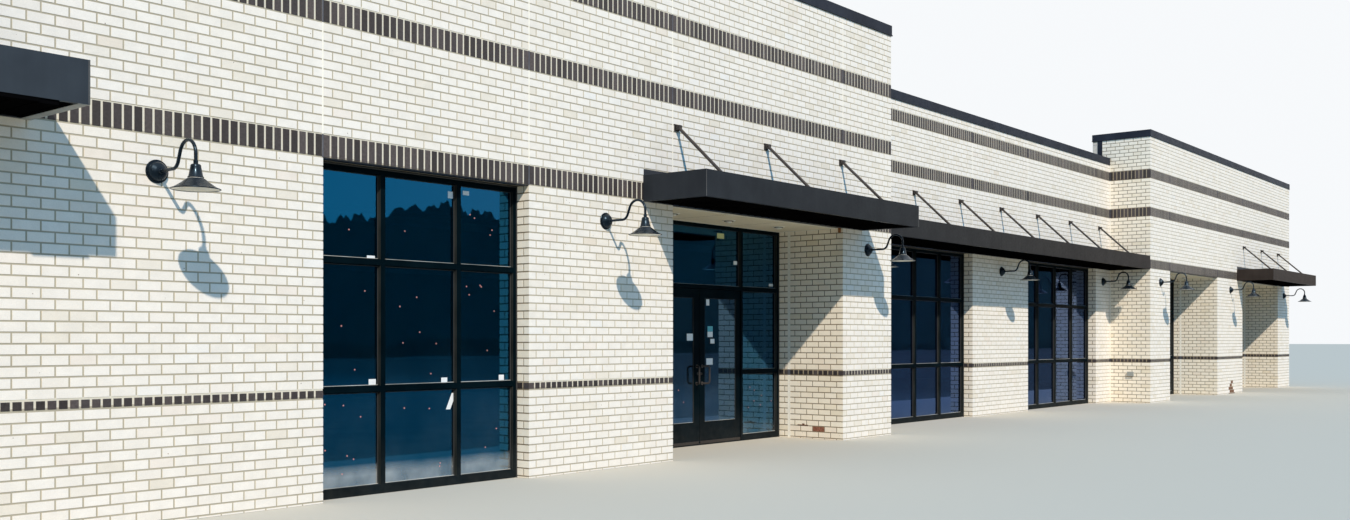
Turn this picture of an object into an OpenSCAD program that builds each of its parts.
// One-storey shop building of pale brick: two tall end blocks, a lower middle set back between
// them, recessed entries, flat hung canopies, gooseneck wall lamps and metal copings.
// X runs along the front, Y runs into the building and Z is up. The origin is on the ground,
// below the middle of the whole outline.

/* [Brick module] */
// Length of one brick with its joint
brick_l = 203.2; // [190:0.1:230]
// Height of one brick course with its joint
course_h = 81.28; // [70:0.01:90]

/* [Front, in bricks and quarters of a brick] */
// Bricks in the width of a recessed entry
entry_bricks = 18.75; // [16:0.25:20]
// Bricks in the wall between the left entry and the shop window
wall_1_bricks = 14.75; // [11:0.25:16]
// Bricks in the width of the shop window
window_bricks = 12.25; // [8:0.25:14]
// Bricks in the wall beside an entry
wall_2_bricks = 11.5; // [9:0.25:14]
// Bricks in a corner pier of a tall block
corner_bricks = 6.75; // [5:0.25:8]
// Bricks in the end wall that the left block shares with its neighbour
party_bricks = 2; // [1.5:0.25:3]
// Bricks in the pier between the left block and the first middle window
mid_pier_bricks = 4.75; // [3.5:0.25:6]
// Bricks in the width of a middle window
mid_window_bricks = 18.25; // [12:0.25:20]
// Bricks in the wall between the middle windows
mid_wall_bricks = 12.25; // [9:0.25:14]
// Bricks in the pier between the second middle window and the right block
mid_end_pier_bricks = 4.25; // [3.5:0.25:6]

/* [Heights, in courses] */
// Courses from the ground to the head of the openings
head_courses = 37.25; // [34:0.25:40]
// Courses from the ground to the top of the lower walls
low_courses = 66.75; // [62:0.25:69]
// Courses from the ground to the top of the tall blocks
tall_courses = 73.75; // [70:0.25:82]

/* [Depths] */
// Depth of the building from the face of the blocks to its rear face
building_d = 15240; // [9000:10:18000]
// Setback of the middle part behind the blocks
recess_d = 914.4; // [700:0.1:1000]
// Thickness of an outer wall
wall_t = 304.8; // [295:0.1:400]
// Depth of the tall parapet's returns, from the face of the blocks
return_d = 1300; // [1220:10:1800]
// Thickness of the side walls of a recessed entry
cheek_t = 203.2; // [150:0.1:300]

/* [Floor and roof] */
// Thickness of the floor finish
floor_t = 20; // [15:1:40]
// Height of the top of the roof deck
roof_z = 4750; // [4300:10:5000]
// Thickness of the roof deck
roof_t = 200; // [120:10:300]

/* [Copings] */
// Height of a metal coping
coping_h = 155; // [100:5:220]
// Overhang of a coping past the wall face
coping_over = 14; // [8:1:30]
// Further kick of the drip edge at the foot of a coping
drip_kick = 8; // [4:1:15]
// Height of the drip edge
drip_h = 14; // [8:1:25]

/* [Window and entry frames] */
// Width of a frame bar as seen from the front
bar_w = 50; // [44:1:60]
// Depth of a frame bar from front to back
bar_d = 115; // [90:1:116]
// Setback of a frame behind the brick face
frame_set = 177.8; // [120:0.1:178]
// Height of the sill bar
sill_h = 80; // [50:1:100]
// Height of the centre of the low rail
low_rail_z = 975; // [850:5:1050]
// Height of the underside of the bar over the doors
door_head_z = 2125; // [2050:5:2200]
// Height of the bar over the doors
door_bar_h = 46; // [44:1:80]
// Height of the head bar
head_bar_h = 60; // [44:1:80]
// Width of the two outer lites of the shop window
side_lite_w = 710; // [560:5:800]
// Lites in the width of a middle window
mid_lites = 4; // [2:1:5]
// Thickness of the glass units
glass_t = 26; // [20:1:36]
// Setback of the glass behind the face of its frame
glass_set = 40; // [25:1:50]

/* [Entry doors] */
// Clear width between the door posts
door_opening_w = 1900; // [1600:10:2000]
// Thickness of a door leaf
leaf_t = 45; // [40:1:55]
// Gap between a leaf and its post or head
leaf_gap = 6; // [5:0.5:8]
// Gap between a leaf and the threshold
sweep_gap = 9; // [6:0.5:12]
// Gap between the two leaves where they meet
meeting_gap = 9; // [9:0.5:12]
// Height of the threshold
threshold_h = 13; // [10:1:20]
// Width of a leaf's stiles
stile_w = 113; // [70:1:125]
// Height of a leaf's top rail
top_rail_h = 115; // [70:1:130]
// Height of a leaf's bottom rail
bottom_rail_h = 285; // [180:5:300]
// Clearance between the hinge barrel and the leaf
hinge_clear = 0.3; // [0.2:0.1:1]
// Distance of the hinge axis in front of the leaf's face
hinge_off = 10; // [10:0.5:14]
// Width of a hinge's plate on the post
hinge_plate_w = 32; // [24:1:40]
// Thickness of a hinge's plate
hinge_plate_t = 4; // [3:0.5:5]

/* [Door pulls] */
// Thickness of a pull's round bar
pull_bar = 25; // [18:1:30]
// Distance of a pull's upright from its leaf, to its axis
pull_reach = 88; // [74:1:100]
// Sideways offset of a pull's upright towards the hinge
pull_side = 52; // [30:1:64]
// Radius of a pull's bends
pull_bend_r = 34; // [28:1:44]
// Height of the foot of a pull
pull_z = 825; // [750:5:950]
// Height of a pull from end to end
pull_h = 258; // [220:1:340]

/* [Canopies] */
// Reach of a canopy from the wall
canopy_depth = 914.4; // [700:0.1:1000]
// Height of the underside of a canopy
canopy_z = 3010; // [2980:5:3040]
// Height of a canopy's edge channel
channel_h = 300; // [200:5:340]
// Width of an edge channel's flanges
flange_w = 45; // [30:1:48]
// Thickness of the channel's plate
plate_t = 8; // [5:0.5:12]
// Thickness of the ribbed deck panel
deck_t = 60; // [40:1:80]
// Thickness of the wall ledger
ledger_t = 40; // [25:1:60]
// Height of the flashing above the ledger
flashing_h = 75; // [60:5:180]
// Thickness of the flashing
flashing_t = 6; // [3:0.5:8]
// Overhang of a canopy past each side of its entry
canopy_over = 535; // [300:5:600]

/* [Tie rods] */
// Diameter of a tie rod
rod_d = 38; // [28:1:42]
// Side of a rod's square wall plate
rod_plate_w = 84; // [70:1:130]
// Thickness of a rod's wall plate
rod_plate_t = 10; // [8:1:14]
// Side of the clevis block between a rod and its wall plate
rod_clevis_w = 54; // [50:1:64]
// Reach of the clevis block from the wall plate
rod_clevis_l = 60; // [48:1:80]
// Height of the centre of a wall plate
rod_wall_z = 3932; // [3700:1:4150]
// Distance of the rod's foot from the canopy's front face
rod_foot_in = 100; // [64:1:140]
// Distance of the rod's foot below the canopy's top
rod_foot_drop = 90; // [45:1:110]
// Thickness of the lug that holds a rod's foot to the front channel
rod_lug_t = 16; // [10:1:24]
// Spacing of the rods over an entry
entry_rod_pitch = 1840; // [1500:5:2000]
// Spacing of the rods over the middle canopy
mid_rod_pitch = 1727; // [1500:1:1850]
// Rods on the middle canopy
mid_rods = 7; // [5:1:7]

/* [Wall lamps] */
// Height of the centre of a lamp's backplate
lamp_z = 2740; // [2500:1:2800]
// Offset of the lamp beside the left entry from the middle of its wall, towards that entry
first_lamp_off = 15; // [0:5:200]
// Diameter of a backplate
backplate_d = 168; // [140:1:200]
// Thickness of a backplate's flat rim
backplate_t = 18; // [10:1:25]
// Height of the dome on a backplate
dome_h = 52; // [30:1:60]
// Width of the flat ledge round the dome
dome_ledge = 8; // [4:1:14]
// Diameter of the lamp's arm
arm_d = 27; // [20:1:34]
// Length of the straight part of the arm
arm_straight = 250; // [220:1:330]
// Radius of the arm's rising bend
arm_rise_r = 80; // [60:1:120]
// Length of the arm's leaning part
arm_lean = 84; // [40:1:120]
// Radius of the arm's bend over the shade
arm_over_r = 115; // [90:1:140]
// Angle of the leaning part
arm_angle = 68; // [55:1:80]
// Length of the arm's drop into the shade
arm_drop = 75; // [40:1:90]
// Diameter of the top of the shade's neck
neck_d = 77; // [60:1:90]
// Wall of the collar where the arm enters the shade
collar_t = 4; // [3:0.5:6]
// Height of the sloping shoulder on the shade's neck
shoulder_h = 26; // [18:1:32]
// Height of the shade's neck
neck_h = 96; // [70:1:120]
// Widening of the neck from its shoulder to its foot, each side
neck_taper = 10; // [4:1:16]
// Width of the lip round the neck's foot
lip_w = 12; // [6:1:18]
// Height of the lip
lip_h = 14; // [10:1:18]
// Height of the flared part of the shade
flare_h = 99; // [70:1:130]
// Depth of the hollow curve in the shade's flare
flare_dip = 5; // [2:0.5:8]
// Diameter of the shade's rim
shade_d = 364; // [300:1:420]
// Height of the shade's straight rim
rim_h = 6; // [4:0.5:9]
// Thickness of the shade's metal
shade_t = 3; // [2:0.5:4]

/* [Entry ceilings] */
// Thickness of a ceiling board
soffit_t = 15; // [12:1:25]
// Thickness of a steel lintel's plate
lintel_t = 10; // [6:1:12]
// Depth of a steel lintel's plate
lintel_d = 100; // [75:1:110]
// Setback of a lintel's plate behind the brick face
lintel_set = 5; // [3:0.5:10]
// Diameter of a downlight
downlight_d = 180; // [140:1:220]
// Width of a downlight's ring
downlight_ring_w = 28; // [16:1:40]
// Height of a downlight's ring
downlight_ring_h = 6; // [3:0.5:10]
// Spacing of the downlights
downlight_pitch = 1170; // [900:10:1300]

/* [Wall box] */
// Width of the small wall box
box_w = 130; // [100:5:260]
// Height of the small wall box
box_h = 96; // [80:2:220]
// Depth of the small wall box
box_d = 48; // [36:2:90]
// Height of the middle of the small wall box
box_z = 652; // [500:2:900]
// Distance of the middle of the small wall box from the face of the block
box_set = 430; // [150:10:760]

/* [Hidden] */
$fn = 48;

// Widths along the front
entry_w = entry_bricks * brick_l;
wall_1_w = wall_1_bricks * brick_l;
window_w = window_bricks * brick_l;
wall_2_w = wall_2_bricks * brick_l;
corner_w = corner_bricks * brick_l;
party_w = party_bricks * brick_l;
mid_pier_w = mid_pier_bricks * brick_l;
mid_window_w = mid_window_bricks * brick_l;
mid_wall_w = mid_wall_bricks * brick_l;
mid_end_pier_w = mid_end_pier_bricks * brick_l;
left_w = party_w + entry_w + wall_1_w + window_w + wall_2_w + entry_w + corner_w;
mid_w = mid_pier_w + 2 * mid_window_w + mid_wall_w + mid_end_pier_w;
right_w = 2 * corner_w + 2 * entry_w + wall_2_w;
total_w = left_w + mid_w + right_w;

// Places along the front, from the left end
left_x0 = -total_w / 2;
left_entry_x = left_x0 + party_w;
wall_1_x = left_entry_x + entry_w;
window_x = wall_1_x + wall_1_w;
wall_2_x = window_x + window_w;
main_entry_x = wall_2_x + wall_2_w;
corner_x = main_entry_x + entry_w;
left_x1 = corner_x + corner_w;
mid_window_1_x = left_x1 + mid_pier_w;
mid_wall_x = mid_window_1_x + mid_window_w;
mid_window_2_x = mid_wall_x + mid_wall_w;
mid_pier_2_x = mid_window_2_x + mid_window_w;
right_x0 = mid_pier_2_x + mid_end_pier_w;
right_entry_1_x = right_x0 + corner_w;
right_pier_x = right_entry_1_x + entry_w;
right_entry_2_x = right_pier_x + wall_2_w;
end_pier_x = right_entry_2_x + entry_w;
right_x1 = end_pier_x + corner_w;

// Heights
head_z = head_courses * course_h;
low_z = low_courses * course_h;
tall_z = tall_courses * course_h;

// Depths: the outline runs from the canopies' fronts to the rear coping's drip edge
coping_reach = coping_over + drip_kick;
front_y = (canopy_depth - building_d - coping_reach) / 2;
rear_y = front_y + building_d;
mid_y = front_y + recess_d;
return_y = front_y + return_d;
entry_frame_y = mid_y + frame_set;
entry_back_y = entry_frame_y + bar_d;

// Sizes that follow from others
glass_h_top = head_z - head_bar_h;
leaf_w = (door_opening_w - 2 * leaf_gap - meeting_gap) / 2;
leaf_z = threshold_h + sweep_gap;
leaf_top = door_head_z - leaf_gap;
leaf_h = leaf_top - leaf_z;
door_x0 = main_entry_x + (entry_w - door_opening_w) / 2;
door_x1 = door_x0 + door_opening_w;
leaf_y = entry_frame_y;
hinge_y = leaf_y - hinge_off;
hinge_x0 = door_x0 + leaf_gap / 2;
hinge_x1 = door_x1 - leaf_gap / 2;
barrel_r = norm([leaf_gap / 2, hinge_off]) - hinge_clear;
canopy_top = canopy_z + channel_h;
deck_z = canopy_z + plate_t;
arm_rise_l = arm_straight + arm_rise_r * sin(arm_angle);
arm_rise_h = arm_rise_r * (1 - cos(arm_angle));
arm_lean_l = arm_rise_l + arm_lean * cos(arm_angle);
arm_lean_h = arm_rise_h + arm_lean * sin(arm_angle);
arm_over_l = arm_lean_l + arm_over_r * sin(arm_angle);
arm_over_h = arm_lean_h - arm_over_r * cos(arm_angle);
shade_l = arm_over_l + arm_over_r;
// The arm's pieces stop this much short of their joints, and its balls are this much thicker
joint_trim = 0.4;
joint_over = 1;
// A round cutter runs this far past each face of the piece that it cuts
cut_over = 1;
// Straight parts that make up the curve of a shade's flare
flare_parts = 5;
shade_top = lamp_z + arm_over_h - arm_drop;
entry_xs = [left_entry_x, main_entry_x, right_entry_1_x, right_entry_2_x];
entry_canopy_xs = [left_entry_x, main_entry_x, right_entry_2_x];
wall_lamp_xs = [wall_1_x + wall_1_w / 2 - first_lamp_off, wall_2_x + wall_2_w / 2, corner_x + corner_w / 2,
                right_x0 + corner_w / 2, right_pier_x + wall_2_w / 2, end_pier_x + corner_w / 2];
mid_lamp_xs = [left_x1 + mid_pier_w / 2, mid_wall_x + mid_wall_w / 2,
               mid_pier_2_x + mid_end_pier_w / 2];

// A box given by its low and high corners
module block(x0, x1, y0, y1, z0, z1) {
    translate([x0, y0, z0]) cube([x1 - x0, y1 - y0, z1 - z0]);
}

// A pier of a front wall, from the ground to the head of the openings
module pier(x, w, y) {
    block(x, x + w, y, y + wall_t, 0, head_z);
}

// The floor finish inside the walls, cut back round the recessed entries and the middle setback
module floor_slab() {
    color("Silver")
        linear_extrude(floor_t)
            difference() {
                translate([left_x0 + party_w, front_y + wall_t])
                    square([total_w - party_w - wall_t, building_d - 2 * wall_t]);
                translate([left_x1 - wall_t, front_y])
                    square([mid_w + 2 * wall_t, return_d]);
                for (x = entry_xs)
                    translate([x - cheek_t, front_y])
                        square([entry_w + 2 * cheek_t, entry_back_y - front_y]);
            }
    color("Silver")
        block(left_x1, right_x0, mid_y + wall_t, return_y, 0, floor_t);
}

// The flat roof behind the parapets
module roof_deck() {
    color("WhiteSmoke")
        block(left_x0 + party_w, right_x1 - wall_t, return_y, rear_y - wall_t,
              roof_z - roof_t, roof_z);
}

// The roof's front strips, between the returns of the tall parapets
module front_roof_strips() {
    color("WhiteSmoke") {
        block(left_x0 + party_w, left_x1 - wall_t, front_y + wall_t, return_y,
              roof_z - roof_t, roof_z);
        block(left_x1, right_x0, mid_y + wall_t, return_y, roof_z - roof_t, roof_z);
        block(right_x0 + wall_t, right_x1 - wall_t, front_y + wall_t, return_y,
              roof_z - roof_t, roof_z);
    }
}

// The plain end wall on the side of the neighbour
module left_party_wall() {
    color("Ivory")
        block(left_x0, left_x0 + party_w, front_y, rear_y, 0, low_z);
}

module left_block_piers() {
    color("Ivory") {
        pier(wall_1_x, wall_1_w, front_y);
        pier(wall_2_x, wall_2_w, front_y);
        pier(corner_x, corner_w, front_y);
    }
}

module left_block_upper_wall() {
    color("Ivory")
        block(left_x0 + party_w, left_x1, front_y, front_y + wall_t, head_z, tall_z);
}

module middle_piers() {
    color("Ivory") {
        pier(left_x1, mid_pier_w, mid_y);
        pier(mid_wall_x, mid_wall_w, mid_y);
        pier(mid_pier_2_x, mid_end_pier_w, mid_y);
    }
}

module middle_upper_wall() {
    color("Ivory")
        block(left_x1, right_x0, mid_y, mid_y + wall_t, head_z, low_z);
}

module right_block_piers() {
    color("Ivory") {
        pier(right_x0, corner_w, front_y);
        pier(right_pier_x, wall_2_w, front_y);
        pier(end_pier_x, corner_w, front_y);
    }
}

module right_block_upper_wall() {
    color("Ivory")
        block(right_x0, right_x1, front_y, front_y + wall_t, head_z, tall_z);
}

// The sides of the two tall blocks: full height beside the middle part, and only
// above the lower walls at the two ends
module block_return_walls() {
    color("Ivory") {
        block(left_x0, left_x0 + party_w, front_y, return_y, low_z, tall_z);
        block(left_x1 - wall_t, left_x1, front_y + wall_t, return_y, 0, tall_z);
        block(right_x0, right_x0 + wall_t, front_y + wall_t, return_y, 0, tall_z);
        block(right_x1 - wall_t, right_x1, front_y + wall_t, return_y, low_z, tall_z);
    }
}

module right_end_wall() {
    color("Ivory")
        block(right_x1 - wall_t, right_x1, front_y + wall_t, rear_y, 0, low_z);
}

module rear_wall() {
    color("Ivory")
        block(left_x0 + party_w, right_x1 - wall_t, rear_y - wall_t, rear_y, 0, low_z);
}

// The brick side walls of the recessed entries; the end wall closes the left one's far side
module entry_side_walls() {
    color("Ivory")
        for (x = entry_xs) {
            if (x > left_entry_x)
                block(x - cheek_t, x, front_y + wall_t, entry_back_y, 0, head_z);
            block(x + entry_w, x + entry_w + cheek_t, front_y + wall_t, entry_back_y, 0, head_z);
        }
}

// The pale boards over the recessed entries, fixed under the wall behind the lintel
module entry_ceilings() {
    color("Wheat")
        for (x = entry_xs)
            block(x, x + entry_w, front_y + lintel_d, entry_frame_y, head_z - soffit_t, head_z);
}

// Three flat light rings in each entry ceiling
module ceiling_downlights() {
    y = (front_y + lintel_d + entry_frame_y) / 2;
    z = head_z - soffit_t - downlight_ring_h;
    color("White")
        for (x = entry_xs, i = [-1:1])
            translate([x + entry_w / 2 + i * downlight_pitch, y, z])
                difference() {
                    cylinder(d = downlight_d, h = downlight_ring_h);
                    translate([0, 0, -cut_over])
                        cylinder(d = downlight_d - 2 * downlight_ring_w,
                                 h = downlight_ring_h + 2 * cut_over);
                }
}

// The steel plates that carry the upright bricks over each opening
module steel_lintels() {
    color("DarkSlateGray") {
        for (x = entry_xs)
            block(x, x + entry_w, front_y + lintel_set, front_y + lintel_d,
                  head_z - lintel_t, head_z);
        block(window_x, window_x + window_w, front_y + lintel_set, front_y + lintel_d,
              head_z - lintel_t, head_z);
        for (x = [mid_window_1_x, mid_window_2_x])
            block(x, x + mid_window_w, mid_y + lintel_set, mid_y + lintel_d,
                  head_z - lintel_t, head_z);
    }
}

// A metal coping over the plan outline that its children draw for a given overhang
module coping_layers(z) {
    translate([0, 0, z]) {
        linear_extrude(drip_h) children(0);
        linear_extrude(coping_h) children(1);
    }
}

// Plan of a tall block's parapet, grown by an overhang
module block_plan(x0, x1, t0, t1, over) {
    translate([x0 - over, front_y - over])
        square([x1 - x0 + 2 * over, wall_t + 2 * over]);
    translate([x0 - over, front_y - over])
        square([t0 + 2 * over, return_d + 2 * over]);
    translate([x1 - t1 - over, front_y - over])
        square([t1 + 2 * over, return_d + 2 * over]);
}

module block_copings() {
    color("#2b2724") {
        coping_layers(tall_z) {
            block_plan(left_x0, left_x1, party_w, wall_t, coping_reach);
            block_plan(left_x0, left_x1, party_w, wall_t, coping_over);
        }
        coping_layers(tall_z) {
            block_plan(right_x0, right_x1, wall_t, wall_t, coping_reach);
            block_plan(right_x0, right_x1, wall_t, wall_t, coping_over);
        }
    }
}

// The middle coping ends against the sides of the tall blocks
module middle_coping() {
    color("#2b2724")
        coping_layers(low_z) {
            translate([left_x1, mid_y - coping_reach])
                square([mid_w, wall_t + 2 * coping_reach]);
            translate([left_x1, mid_y - coping_over])
                square([mid_w, wall_t + 2 * coping_over]);
        }
}

// Plan of the lower coping along both ends and the rear, from the tall parapets back
module rear_plan(over) {
    translate([left_x0 - over, return_y])
        square([party_w + 2 * over, rear_y - return_y + over]);
    translate([right_x1 - wall_t - over, return_y])
        square([wall_t + 2 * over, rear_y - return_y + over]);
    translate([left_x0 - over, rear_y - wall_t - over])
        square([total_w + 2 * over, wall_t + 2 * over]);
}

module rear_coping() {
    color("#2b2724")
        coping_layers(low_z) {
            rear_plan(coping_reach);
            rear_plan(coping_over);
        }
}

// Upright bars of a window, given their left edges
module uprights(xs, y, z0, z1) {
    for (x = xs)
        block(x, x + bar_w, y, y + bar_d, z0, z1);
}

// Rails of a window between its outer faces
module rails(x, w, y) {
    block(x, x + w, y, y + bar_d, 0, sill_h);
    block(x, x + w, y, y + bar_d, low_rail_z - bar_w / 2, low_rail_z + bar_w / 2);
    block(x, x + w, y, y + bar_d, door_head_z, door_head_z + bar_w);
    block(x, x + w, y, y + bar_d, glass_h_top, head_z);
}

// The three lites, one above the other, between two uprights
module lites(x0, x1, y) {
    block(x0, x1, y + glass_set, y + glass_set + glass_t, sill_h, low_rail_z - bar_w / 2);
    block(x0, x1, y + glass_set, y + glass_set + glass_t, low_rail_z + bar_w / 2, door_head_z);
    block(x0, x1, y + glass_set, y + glass_set + glass_t, door_head_z + bar_w, glass_h_top);
}

// Left edges of the four uprights of the shop window
shop_bars = [window_x, window_x + bar_w + side_lite_w,
             window_x + window_w - 2 * bar_w - side_lite_w, window_x + window_w - bar_w];

module shop_window_frame() {
    color("#1a1c20") {
        uprights(shop_bars, front_y + frame_set, 0, head_z);
        rails(window_x, window_w, front_y + frame_set);
    }
}

module shop_window_glass() {
    color("#123540")
        for (i = [0:2])
            lites(shop_bars[i] + bar_w, shop_bars[i + 1], front_y + frame_set);
}

// Left edges of a middle window's uprights
function mid_bars(x) = [for (i = [0:mid_lites]) x + i * (mid_window_w - bar_w) / mid_lites];

module middle_window_frames() {
    color("#1a1c20")
        for (x = [mid_window_1_x, mid_window_2_x]) {
            uprights(mid_bars(x), entry_frame_y, 0, head_z);
            rails(x, mid_window_w, entry_frame_y);
        }
}

module middle_window_glass() {
    color("#123540")
        for (x = [mid_window_1_x, mid_window_2_x], i = [0:mid_lites - 1])
            lites(mid_bars(x)[i] + bar_w, mid_bars(x)[i + 1], entry_frame_y);
}

// Left edges of an entry's four posts
function post_xs(x) = [x, x + (entry_w - door_opening_w) / 2 - bar_w,
                       x + (entry_w + door_opening_w) / 2, x + entry_w - bar_w];

// Rails of an entry's sidelights, between their posts
module sidelight_rails(x) {
    for (i = [0, 2]) {
        x0 = post_xs(x)[i] + bar_w;
        x1 = post_xs(x)[i + 1];
        rails(x0, x1 - x0, entry_frame_y);
    }
}

// Head bar, door head and threshold between the two door posts
module door_rails(x) {
    x0 = x + (entry_w - door_opening_w) / 2;
    x1 = x0 + door_opening_w;
    block(x0, x1, entry_frame_y, entry_back_y, 0, threshold_h);
    block(x0, x1, entry_frame_y, entry_back_y, door_head_z, door_head_z + door_bar_h);
    block(x0, x1, entry_frame_y, entry_back_y, glass_h_top, head_z);
}

// The glass round an entry's doors: the sidelights and the wide lite over the doors
module entry_lites(x) {
    for (i = [0, 2])
        lites(post_xs(x)[i] + bar_w, post_xs(x)[i + 1], entry_frame_y);
    block(post_xs(x)[1] + bar_w, post_xs(x)[2], entry_frame_y + glass_set,
          entry_frame_y + glass_set + glass_t, door_head_z + door_bar_h, glass_h_top);
}

// Stiles and rails of one leaf, from its left edge
module leaf_frame(x) {
    block(x, x + stile_w, leaf_y, leaf_y + leaf_t, leaf_z, leaf_top);
    block(x + leaf_w - stile_w, x + leaf_w, leaf_y, leaf_y + leaf_t, leaf_z, leaf_top);
    block(x, x + leaf_w, leaf_y, leaf_y + leaf_t, leaf_z, leaf_z + bottom_rail_h);
    block(x, x + leaf_w, leaf_y, leaf_y + leaf_t, leaf_top - top_rail_h, leaf_top);
}

// The glass of one leaf, centred in its thickness
module leaf_glass(x) {
    y = leaf_y + (leaf_t - glass_t) / 2;
    block(x + stile_w, x + leaf_w - stile_w, y, y + glass_t,
          leaf_z + bottom_rail_h, leaf_top - top_rail_h);
}

// Entries whose doors stay shut: the leaves fill the opening between the posts
module side_entry_frames() {
    color("#1a1c20")
        for (x = [left_entry_x, right_entry_1_x, right_entry_2_x]) {
            uprights(post_xs(x), entry_frame_y, 0, head_z);
            sidelight_rails(x);
            door_rails(x);
            shut_leaf_frame(x + (entry_w - door_opening_w) / 2);
            shut_leaf_frame(x + entry_w / 2);
        }
}

// A shut leaf takes half the opening and stands on the threshold
module shut_leaf_frame(x) {
    w = door_opening_w / 2;
    block(x, x + stile_w, leaf_y, leaf_y + leaf_t, threshold_h, door_head_z);
    block(x + w - stile_w, x + w, leaf_y, leaf_y + leaf_t, threshold_h, door_head_z);
    block(x, x + w, leaf_y, leaf_y + leaf_t, threshold_h, leaf_z + bottom_rail_h);
    block(x, x + w, leaf_y, leaf_y + leaf_t, leaf_top - top_rail_h, door_head_z);
}

module side_entry_glass() {
    color("#123540")
        for (x = [left_entry_x, right_entry_1_x, right_entry_2_x]) {
            entry_lites(x);
            for (i = [0, 1]) {
                x0 = x + (entry_w - door_opening_w) / 2 + i * door_opening_w / 2;
                y = leaf_y + (leaf_t - glass_t) / 2;
                block(x0 + stile_w, x0 + door_opening_w / 2 - stile_w, y, y + glass_t,
                      leaf_z + bottom_rail_h, leaf_top - top_rail_h);
            }
        }
}

module main_entry_posts() {
    color("#1a1c20")
        uprights(post_xs(main_entry_x), entry_frame_y, 0, head_z);
}

module main_entry_rails() {
    color("#1a1c20") {
        sidelight_rails(main_entry_x);
        door_rails(main_entry_x);
    }
}

module main_entry_glass() {
    color("#123540")
        entry_lites(main_entry_x);
}

// A full-height hinge: a flat plate on the post's face and a round barrel on the swing axis
module hinge(x, side) {
    plate_x = side > 0 ? x - hinge_plate_w : x;
    translate([x, hinge_y, leaf_z]) cylinder(r = barrel_r, h = leaf_h);
    block(plate_x, plate_x + hinge_plate_w, leaf_y - hinge_plate_t, leaf_y, leaf_z, leaf_top);
}

module door_hinges() {
    color("DimGray") {
        hinge(hinge_x0, 1);
        hinge(hinge_x1, -1);
    }
}

// A pull: an upright bar with two round bends and two slanting feet that end flat on the leaf.
// The upright stands off to the side that the sign gives
module pull(x, side) {
    slant = atan2(side * pull_side, pull_reach);
    reach = norm([pull_side, pull_reach]);
    translate([x, leaf_y, pull_z])
        difference() {
            rotate([0, 0, slant]) {
                translate([0, -reach, pull_bar / 2 + pull_bend_r])
                    cylinder(d = pull_bar, h = pull_h - pull_bar - 2 * pull_bend_r);
                pull_foot(reach);
                translate([0, 0, pull_h]) mirror([0, 0, 1]) pull_foot(reach);
            }
            block(-2 * pull_bar, 2 * pull_bar, 0, 2 * pull_bar, -pull_bar, pull_h + pull_bar);
        }
}

// The lower bend of a pull and its foot, which runs on past the leaf's face to be cut there
module pull_foot(reach) {
    translate([0, pull_bend_r - reach, pull_bar / 2 + pull_bend_r])
        rotate([0, 90, 0])
            rotate([0, 0, -90])
                rotate_extrude(angle = 90)
                    translate([pull_bend_r, 0])
                        circle(d = pull_bar);
    translate([0, pull_bend_r - reach, pull_bar / 2])
        rotate([-90, 0, 0])
            cylinder(d = pull_bar, h = reach - pull_bend_r + pull_bar);
}

left_leaf_x = door_x0 + leaf_gap;
right_leaf_x = door_x1 - leaf_gap - leaf_w;

module left_door_leaf() {
    color("#1a1c20") leaf_frame(left_leaf_x);
}

module left_door_glass() {
    color("#123540") leaf_glass(left_leaf_x);
}

module left_door_pull() {
    color("#202225") pull(left_leaf_x + leaf_w - stile_w / 2, -1);
}

module right_door_leaf() {
    color("#1a1c20") leaf_frame(right_leaf_x);
}

module right_door_glass() {
    color("#123540") leaf_glass(right_leaf_x);
}

module right_door_pull() {
    color("#202225") pull(right_leaf_x + stile_w / 2, 1);
}

// Left and right ends and wall face of each canopy: the left one ends with its block
function canopy_spans() = concat(
    [for (x = entry_canopy_xs)
        [max(x - canopy_over, left_x0), x + entry_w + canopy_over, front_y]],
    [[left_x1, right_x0, front_y + canopy_depth]]);

module canopy_front_channels() {
    color("#30343a")
        for (s = canopy_spans()) {
            y = s[2] - canopy_depth;
            block(s[0] + plate_t, s[1] - plate_t, y, y + plate_t, canopy_z, canopy_top);
            block(s[0] + plate_t, s[1] - plate_t, y, y + flange_w, canopy_z, canopy_z + plate_t);
            block(s[0] + plate_t, s[1] - plate_t, y, y + flange_w, canopy_top - plate_t,
                  canopy_top);
        }
}

// The side channels' flanges are cut back where the front channel's flanges meet them
module canopy_side_channels() {
    color("#30343a")
        for (s = canopy_spans(), side = [0, 1]) {
            x = side == 0 ? s[0] : s[1] - plate_t;
            flange_x = side == 0 ? s[0] : s[1] - flange_w;
            y = s[2] - canopy_depth;
            block(x, x + plate_t, y, s[2], canopy_z, canopy_top);
            block(flange_x, flange_x + flange_w, y + flange_w, s[2] - ledger_t,
                  canopy_z, canopy_z + plate_t);
            block(flange_x, flange_x + flange_w, y + flange_w, s[2] - ledger_t,
                  canopy_top - plate_t, canopy_top);
        }
}

// A deck panel lies on the channels' lower flanges and ends against the ledger
module canopy_decks() {
    color("#3a3e44")
        for (s = canopy_spans())
            block(s[0] + plate_t, s[1] - plate_t, s[2] - canopy_depth + plate_t, s[2] - ledger_t,
                  deck_z, deck_z + deck_t);
}

// A ledger on the wall carries the deck's back edge, with thin flashing above it
module canopy_ledgers() {
    color("#2b2e33")
        for (s = canopy_spans()) {
            block(s[0] + plate_t, s[1] - plate_t, s[2] - ledger_t, s[2], canopy_z, canopy_top);
            block(s[0] + plate_t, s[1] - plate_t, s[2] - flashing_t, s[2], canopy_top,
                  canopy_top + flashing_h);
        }
}

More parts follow.
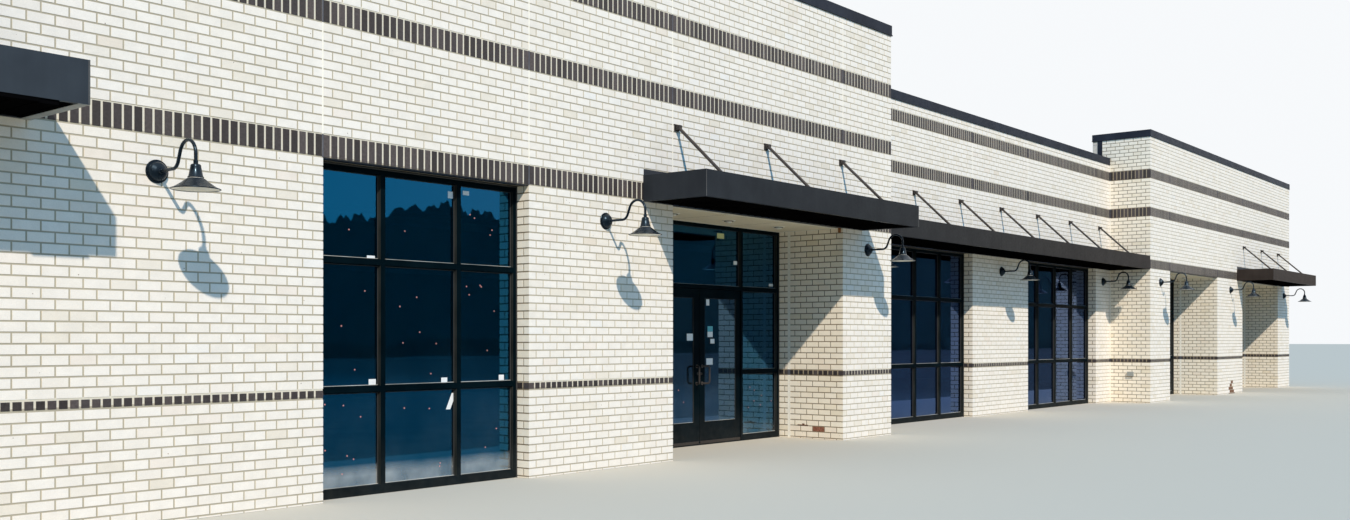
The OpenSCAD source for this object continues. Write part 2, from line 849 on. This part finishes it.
// A tie rod from its wall plate and clevis block down to a lug on the front channel's web
module tie_rod(x, wall_y) {
    foot_y = wall_y - canopy_depth + rod_foot_in;
    foot_z = canopy_top - rod_foot_drop;
    top_y = wall_y - rod_plate_t - rod_clevis_l / 2;
    run = top_y - foot_y;
    rise = rod_wall_z - foot_z;
    block(x - rod_plate_w / 2, x + rod_plate_w / 2, wall_y - rod_plate_t, wall_y,
          rod_wall_z - rod_plate_w / 2, rod_wall_z + rod_plate_w / 2);
    block(x - rod_clevis_w / 2, x + rod_clevis_w / 2, wall_y - rod_plate_t - rod_clevis_l,
          wall_y - rod_plate_t, rod_wall_z - rod_clevis_w / 2, rod_wall_z + rod_clevis_w / 2);
    translate([x, foot_y, foot_z])
        rotate([-atan2(run, rise), 0, 0])
            cylinder(d = rod_d, h = norm([run, rise]));
    block(x - rod_lug_t / 2, x + rod_lug_t / 2, wall_y - canopy_depth + plate_t,
          foot_y + rod_d, foot_z - rod_d, foot_z + rod_d / 2);
}

module canopy_tie_rods() {
    color("#26282b") {
        for (x = entry_canopy_xs, i = [-1:1])
            tie_rod(x + entry_w / 2 + i * entry_rod_pitch, front_y);
        for (i = [0:mid_rods - 1])
            tie_rod((left_x1 + right_x0) / 2 + (i - (mid_rods - 1) / 2) * mid_rod_pitch,
                    front_y + canopy_depth);
    }
}

// A flat ring with a rounded dome, seen along +X
module backplate() {
    dome_r = backplate_d / 2 - dome_ledge;
    rotate([0, 90, 0])
        rotate_extrude()
            polygon(concat([[0, 0], [backplate_d / 2, 0], [backplate_d / 2, backplate_t]],
                           [for (a = [0:15:75])
                               [dome_r * cos(a), backplate_t + dome_h * sin(a)]],
                           [[0, backplate_t + dome_h]]));
}

// A ball fills each joint in the arm's tube
module arm_joint(l, h) {
    translate([l, 0, h]) sphere(d = arm_d + joint_over);
}

// A backplate and gooseneck arm, with the arm's outward direction along +X
module lamp_arm() {
    backplate();
    rotate([0, 90, 0])
        cylinder(d = arm_d, h = arm_straight - joint_trim);
    arm_joint(arm_straight, 0);
    translate([arm_straight, 0, arm_rise_r])
        rotate([90, 0, 0])
            rotate([0, 0, joint_trim - 90])
                rotate_extrude(angle = arm_angle - 2 * joint_trim)
                    translate([arm_rise_r, 0])
                        circle(d = arm_d);
    arm_joint(arm_rise_l, arm_rise_h);
    translate([arm_rise_l, 0, arm_rise_h])
        rotate([0, 90 - arm_angle, 0])
            translate([0, 0, joint_trim])
                cylinder(d = arm_d, h = arm_lean - 2 * joint_trim);
    arm_joint(arm_lean_l, arm_lean_h);
    translate([arm_over_l, 0, arm_over_h])
        rotate([90, 0, 0])
            rotate([0, 0, joint_trim])
                rotate_extrude(angle = 90 + arm_angle - 2 * joint_trim)
                    translate([arm_over_r, 0])
                        circle(d = arm_d);
    arm_joint(shade_l, arm_over_h);
    translate([shade_l, 0, arm_over_h - arm_drop])
        cylinder(d = arm_d, h = arm_drop - joint_trim);
}

// A spun shade: a tapered neck with a lip, and a wide shallow flare that is open below.
// Its top is at the origin, under the arm's end
module lamp_shade() {
    collar_r = arm_d / 2 + collar_t;
    neck_r = neck_d / 2;
    foot_r = neck_r + neck_taper;
    lip_r = foot_r + lip_w;
    rim_r = shade_d / 2;
    foot = neck_h + flare_h;
    // The flare's outline from the lip to the rim, a little hollow
    flare = [for (i = [0:flare_parts])
        let (k = i / flare_parts, dip = flare_dip * sin(180 * k))
            [lip_r + (rim_r - lip_r) * k,
             -neck_h - lip_h - (flare_h - lip_h - rim_h) * k - dip]];
    inner = [for (i = [flare_parts:-1:0]) [flare[i][0] - shade_t, flare[i][1] - shade_t]];
    rotate_extrude()
        polygon(concat([[0, 0], [collar_r, 0], [neck_r, -shoulder_h], [foot_r, -neck_h],
                        [lip_r, -neck_h - lip_h / 3]],
                       flare,
                       [[rim_r, -foot], [rim_r - shade_t, -foot]],
                       inner,
                       [[foot_r - shade_t, -neck_h - lip_h - shade_t],
                        [neck_r - shade_t, -shoulder_h - shade_t],
                        [0, -shoulder_h - shade_t]]));
}

// Each lamp's place: its X, and the wall face that carries it
function lamp_spots() = concat([for (x = wall_lamp_xs) [x, front_y]],
                               [for (x = mid_lamp_xs) [x, mid_y]]);

module lamp_arms() {
    color("#17181a")
        for (p = lamp_spots())
            translate([p[0], p[1], lamp_z])
                rotate([0, 0, -90])
                    lamp_arm();
}

module lamp_shades() {
    color("#17181a")
        for (p = lamp_spots())
            translate([p[0], p[1] - shade_l, shade_top])
                lamp_shade();
}

// A small box on the inner side of the right block
module wall_box() {
    y = front_y + box_set;
    color("Gray")
        block(right_x0 - box_d, right_x0, y - box_w / 2, y + box_w / 2,
              box_z - box_h / 2, box_z + box_h / 2);
}

floor_slab();
roof_deck();
front_roof_strips();
left_party_wall();
left_block_piers();
left_block_upper_wall();
middle_piers();
middle_upper_wall();
right_block_piers();
right_block_upper_wall();
block_return_walls();
right_end_wall();
rear_wall();
entry_side_walls();
entry_ceilings();
ceiling_downlights();
steel_lintels();
block_copings();
middle_coping();
rear_coping();
shop_window_frame();
shop_window_glass();
middle_window_frames();
middle_window_glass();
side_entry_frames();
side_entry_glass();
main_entry_posts();
main_entry_rails();
main_entry_glass();
door_hinges();
left_door_leaf();
left_door_glass();
left_door_pull();
right_door_leaf();
right_door_glass();
right_door_pull();
canopy_front_channels();
canopy_side_channels();
canopy_decks();
canopy_ledgers();
canopy_tie_rods();
lamp_arms();
lamp_shades();
wall_box();
